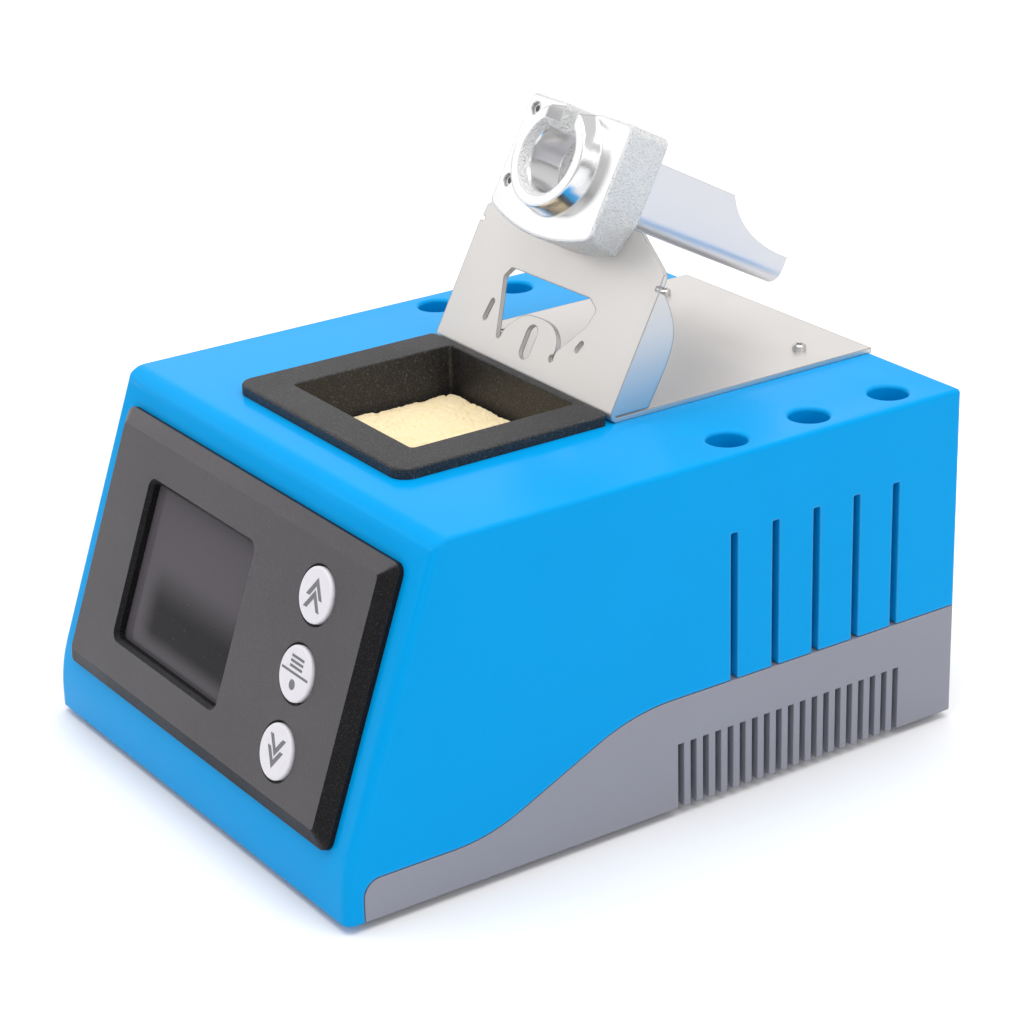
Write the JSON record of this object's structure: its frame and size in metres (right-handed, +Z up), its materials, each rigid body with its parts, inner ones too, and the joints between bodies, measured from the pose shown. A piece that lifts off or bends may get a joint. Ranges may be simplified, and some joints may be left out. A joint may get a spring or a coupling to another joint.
{
  "type": "soldering iron station",
  "caption": "Bench soldering station: sloped housing with a display and push buttons, lift-out sponge tray, and a bent steel stand that holds the iron in a cast cradle.",
  "frame": {"origin": "middle of the footprint, on the surface the rubber feet stand on", "axes": "+Z up; the display panel faces -Y; +X is to the right of someone facing the panel"},
  "size_m": [0.1282, 0.1692, 0.1398],
  "materials": {
    "blue_shell": "glossy",
    "grey_shell": "satin",
    "dark_bezel": "fine texture",
    "screen_window": "glossy",
    "display": "satin",
    "silver_button": "satin",
    "tray_black": "fine texture",
    "sponge_yellow": "porous",
    "stainless": "brushed",
    "cast_alloy": "cast, satin faces",
    "trough_alloy": "satin",
    "screw_steel": "plated",
    "nickel": "polished",
    "foot_rubber": "matte",
    "rear_sheet": "satin paint",
    "black_moulding": "satin",
    "red_rocker": "glossy",
    "brass_pins": "satin",
    "jack_green": "glossy",
    "fuse_glass": "clear",
    "board_green": "satin",
    "component_black": "satin",
    "transformer_tape": "satin",
    "can_aluminium": "satin",
    "copper_coil": "enamelled",
    "connector_green": "satin",
    "lead_insulation": "satin"
  },
  "bodies": {
    "station": {"upper_housing": "blue_shell", "lower_housing": "grey_shell", "rubber_feet": "foot_rubber", "housing_screws": "screw_steel", "front_bezel": "dark_bezel", "screen_lens": "screen_window", "display_module": "display", "control_board": "board_green", "tact_switches": "component_black", "control_chips": "component_black", "ribbon_socket": "connector_green", "control_board_screws": "screw_steel", "stand": "stainless", "stand_screws": "screw_steel", "stand_nuts": "screw_steel", "holder_block": "cast_alloy", "iron_trough": "trough_alloy", "trough_screws": "screw_steel", "holder_screws": "screw_steel", "grub_screws": "screw_steel", "rear_panel": "rear_sheet", "rear_panel_screws": "screw_steel", "mains_inlet": "black_moulding", "inlet_pins": "brass_pins", "inlet_screws": "screw_steel", "switch_frame": "black_moulding", "handle_socket": "nickel", "handle_socket_nut": "nickel", "handle_socket_pins": "brass_pins", "ground_jack": "jack_green", "ground_jack_nut": "nickel", "power_board": "board_green", "power_board_screws": "screw_steel", "transformer": "transformer_tape", "capacitors": "can_aluminium", "heat_sinks": "can_aluminium", "power_transistors": "component_black", "choke": "copper_coil", "mains_terminal": "connector_green", "board_header": "connector_green", "buzzer": "component_black", "mains_leads": "lead_insulation"},
    "button_up": {"button_up": "silver_button"},
    "button_menu": {"button_menu": "silver_button"},
    "button_down": {"button_down": "silver_button"},
    "rocker": {"power_rocker": "red_rocker"},
    "drawer": {"fuse_drawer": "black_moulding", "fuse": "fuse_glass"},
    "tray": {"sponge_tray": "tray_black"},
    "sponge_pad": {"sponge": "sponge_yellow"}
  },
  "joints": [
    {"name": "button_up_press", "type": "slide", "parent": "station", "child": "button_up", "axis": [0, 0.9415, -0.3371], "range_m": [0, 0.0005], "stiffness_N_per_m": 3000},
    {"name": "button_menu_press", "type": "slide", "parent": "station", "child": "button_menu", "axis": [0, 0.9415, -0.3371], "range_m": [0, 0.0005], "stiffness_N_per_m": 3000},
    {"name": "button_down_press", "type": "slide", "parent": "station", "child": "button_down", "axis": [0, 0.9415, -0.3371], "range_m": [0, 0.0005], "stiffness_N_per_m": 3000},
    {"name": "power_switch", "type": "hinge", "parent": "station", "child": "rocker", "pos_m": [-0.014, 0.07415, 0.038], "axis": [1, 0, 0], "range_deg": [-16, 0]},
    {"name": "fuse_drawer_slide", "type": "slide", "parent": "station", "child": "drawer", "axis": [0, 1, 0], "range_m": [0, 0.018]},
    {"name": "tray_lift", "type": "slide", "parent": "station", "child": "tray", "axis": [0, 0, 1], "range_m": [0, 0.045]},
    {"name": "sponge_lift", "type": "slide", "parent": "tray", "child": "sponge_pad", "axis": [0, 0, 1], "range_m": [0, 0.03]}
  ]
}
